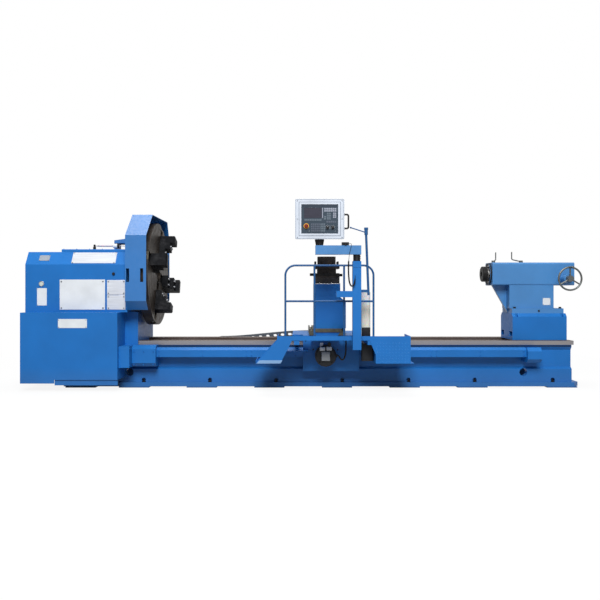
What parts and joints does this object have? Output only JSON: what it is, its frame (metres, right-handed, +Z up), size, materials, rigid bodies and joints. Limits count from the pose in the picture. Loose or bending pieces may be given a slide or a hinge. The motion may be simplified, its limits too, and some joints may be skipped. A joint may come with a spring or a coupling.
{
  "type": "cnc lathe",
  "caption": "Long heavy CNC lathe: chucked faceplate headstock, ribbed bed, travelling carriage with turret, operator platform and swinging control panel, and a tailstock.",
  "frame": {"origin": "on the floor, under the middle of the machine's bounding box", "axes": "+X from the headstock to the tailstock, +Y from the operator to the back, +Z up"},
  "size_m": [6.547, 1.9495, 2.121],
  "materials": {
    "blue_paint": "semi-gloss enamel",
    "ground_steel": "ground",
    "machined_iron": "machined, oiled",
    "black_oxide": "black oxide",
    "zinc_plate": "bright plated",
    "motor_black": "satin",
    "panel_silver": "powder coat",
    "keypad_slate": "satin",
    "tank_white": "translucent",
    "black_plastic": "satin",
    "stop_red": "gloss",
    "cord_black": "matt"
  },
  "bodies": {
    "frame": {"bed_casting": "blue_paint", "guideways": "ground_steel", "levelling_pads": "machined_iron", "headstock_casting": "blue_paint", "headstock_cover": "blue_paint", "belt_guard": "blue_paint", "lower_cabinet": "blue_paint", "chuck_guard": "blue_paint", "oil_pipe": "zinc_plate", "main_motor": "motor_black", "spindle_bearings": "ground_steel", "drive_belts": "cord_black", "screw_cover": "blue_paint", "screw_supports": "blue_paint", "z_servo": "motor_black", "cable_tray": "blue_paint", "chain_lower": "zinc_plate"},
    "spindle_group": {"spindle": "ground_steel", "spindle_pulley": "machined_iron", "faceplate": "machined_iron"},
    "motor_rotor": {"motor_pulley": "machined_iron"},
    "carriage": {"saddle": "blue_paint", "apron": "blue_paint", "platform_deck": "blue_paint", "deck_handrail": "blue_paint", "deck_steps": "blue_paint", "pendant_column": "blue_paint", "lube_tank": "tank_white", "lube_pump": "motor_black", "x_servo": "motor_black", "lamp_post": "blue_paint", "chain_upper": "zinc_plate", "servo_cable": "cord_black"},
    "z_screw": {"ball_screw_z": "ground_steel"},
    "x_screw": {"ball_screw_x": "ground_steel"},
    "cross_group": {"cross_slide": "machined_iron", "tool_column": "blue_paint", "turret_base": "machined_iron"},
    "turret": {"turret_head": "black_oxide", "turret_tools": "black_oxide"},
    "pendant_swing": {"pendant_arm": "blue_paint", "pulse_unit": "black_plastic", "pulse_cord": "cord_black"},
    "panel": {"panel_housing": "panel_silver", "panel_fascia": "keypad_slate"},
    "emergency": {"emergency_button": "stop_red"},
    "feed_dial": {"feed_knob": "black_plastic"},
    "speed_dial": {"speed_knob": "black_plastic"},
    "stand_rod": {"lamp_arm": "blue_paint"},
    "tailstock": {"tailstock_base": "blue_paint", "tailstock_body": "blue_paint"},
    "wheel": {"handwheel": "ground_steel"},
    "quill_group": {"quill": "ground_steel"},
    "nose_group": {"live_nose": "black_oxide"},
    "lever_left": {"clamp_lever_left": "ground_steel"},
    "lever_right": {"clamp_lever_right": "ground_steel"},
    "jaw_1": {"chuck_jaw_1": "black_oxide"},
    "jaw_2": {"chuck_jaw_2": "black_oxide"},
    "jaw_3": {"chuck_jaw_3": "black_oxide"},
    "jaw_4": {"chuck_jaw_4": "black_oxide"}
  },
  "joints": [
    {"name": "spindle_turn", "type": "hinge", "parent": "frame", "child": "spindle_group", "pos_m": [-1.8515, 0.28525, 1.35], "axis": [1, 0, 0], "continuous": true},
    {"name": "motor_turn", "type": "hinge", "parent": "frame", "child": "motor_rotor", "pos_m": [-1.8515, -0.29975, 0.44], "axis": [1, 0, 0], "continuous": true},
    {"name": "jaw_1_slide", "type": "slide", "parent": "spindle_group", "child": "jaw_1", "axis": [0, 0.342, 0.9397], "range_m": [-0.12, 0.1]},
    {"name": "jaw_2_slide", "type": "slide", "parent": "spindle_group", "child": "jaw_2", "axis": [0, -0.9397, 0.342], "range_m": [-0.12, 0.1]},
    {"name": "jaw_3_slide", "type": "slide", "parent": "spindle_group", "child": "jaw_3", "axis": [0, -0.342, -0.9397], "range_m": [-0.12, 0.1]},
    {"name": "jaw_4_slide", "type": "slide", "parent": "spindle_group", "child": "jaw_4", "axis": [0, 0.9397, -0.342], "range_m": [-0.12, 0.1]},
    {"name": "carriage_slide", "type": "slide", "parent": "frame", "child": "carriage", "axis": [1, 0, 0], "range_m": [-1.5, 0.8], "deforming": ["chain_lower", "chain_upper"]},
    {"name": "z_screw_turn", "type": "hinge", "parent": "frame", "child": "z_screw", "pos_m": [-1.8515, -0.15675, 0.418], "axis": [1, 0, 0], "range_deg": [-27001, 14401]},
    {"name": "cross_slide_feed", "type": "slide", "parent": "carriage", "child": "cross_group", "axis": [0, 1, 0], "range_m": [-0.25, 0.12]},
    {"name": "x_screw_turn", "type": "hinge", "parent": "carriage", "child": "x_screw", "pos_m": [0.1955, 0.28525, 0.59], "axis": [0, 1, 0], "range_deg": [-9001, 4321]},
    {"name": "turret_turn", "type": "hinge", "parent": "cross_group", "child": "turret", "pos_m": [0.2205, -0.01475, 1.2983], "axis": [0, 0, 1], "continuous": true},
    {"name": "pendant_swivel", "type": "hinge", "parent": "carriage", "child": "pendant_swing", "pos_m": [0.5155, -0.85025, 1.461], "axis": [0, 0, 1], "range_deg": [-15, 90], "deforming": ["pulse_cord"]},
    {"name": "panel_swivel", "type": "hinge", "parent": "pendant_swing", "child": "panel", "pos_m": [0.1145, -0.85025, 1.63], "axis": [0, 0, 1], "range_deg": [-90, 90]},
    {"name": "emergency_press", "type": "slide", "parent": "panel", "child": "emergency", "axis": [0, 1, 0], "range_m": [0, 0.005], "stiffness_N_per_m": 2000, "springref_m": -0.003},
    {"name": "feed_dial_turn", "type": "hinge", "parent": "panel", "child": "feed_dial", "pos_m": [0.1965, -0.93825, 1.8195], "axis": [0, 1, 0], "range_deg": [-135, 135]},
    {"name": "speed_dial_turn", "type": "hinge", "parent": "panel", "child": "speed_dial", "pos_m": [0.2525, -0.93825, 1.8195], "axis": [0, 1, 0], "range_deg": [-135, 135]},
    {"name": "stand_rod_swing", "type": "hinge", "parent": "carriage", "child": "stand_rod", "pos_m": [0.6165, -0.85025, 1.745], "axis": [0, 0, 1], "range_deg": [-90, 0]},
    {"name": "tailstock_slide", "type": "slide", "parent": "frame", "child": "tailstock", "axis": [1, 0, 0], "range_m": [-0.6, 0]},
    {"name": "handwheel_turn", "type": "hinge", "parent": "tailstock", "child": "wheel", "pos_m": [3.1265, 0.28525, 1.288], "axis": [0, 1, 0], "range_deg": [0, 18000]},
    {"name": "quill_slide", "type": "slide", "parent": "tailstock", "child": "quill_group", "axis": [-1, 0, 0], "range_m": [0, 0.2505]},
    {"name": "live_nose_turn", "type": "hinge", "parent": "quill_group", "child": "nose_group", "pos_m": [2.1595, 0.28525, 1.35], "axis": [1, 0, 0], "continuous": true},
    {"name": "lever_left_turn", "type": "hinge", "parent": "tailstock", "child": "lever_left", "pos_m": [2.2905, 0.22525, 1.49], "axis": [0, 0, 1], "range_deg": [-60, 60]},
    {"name": "lever_right_turn", "type": "hinge", "parent": "tailstock", "child": "lever_right", "pos_m": [2.6315, 0.22525, 1.49], "axis": [0, 0, 1], "range_deg": [-60, 60]}
  ],
  "couplings": [
    {"joint": "motor_turn", "follows": "spindle_turn", "ratio": 2.5},
    {"joint": "z_screw_turn", "follows": "carriage_slide", "rad_per_m": 314.16},
    {"joint": "x_screw_turn", "follows": "cross_slide_feed", "rad_per_m": 628.32},
    {"joint": "quill_slide", "follows": "handwheel_turn", "m_per_rad": 0.00079577}
  ]
}
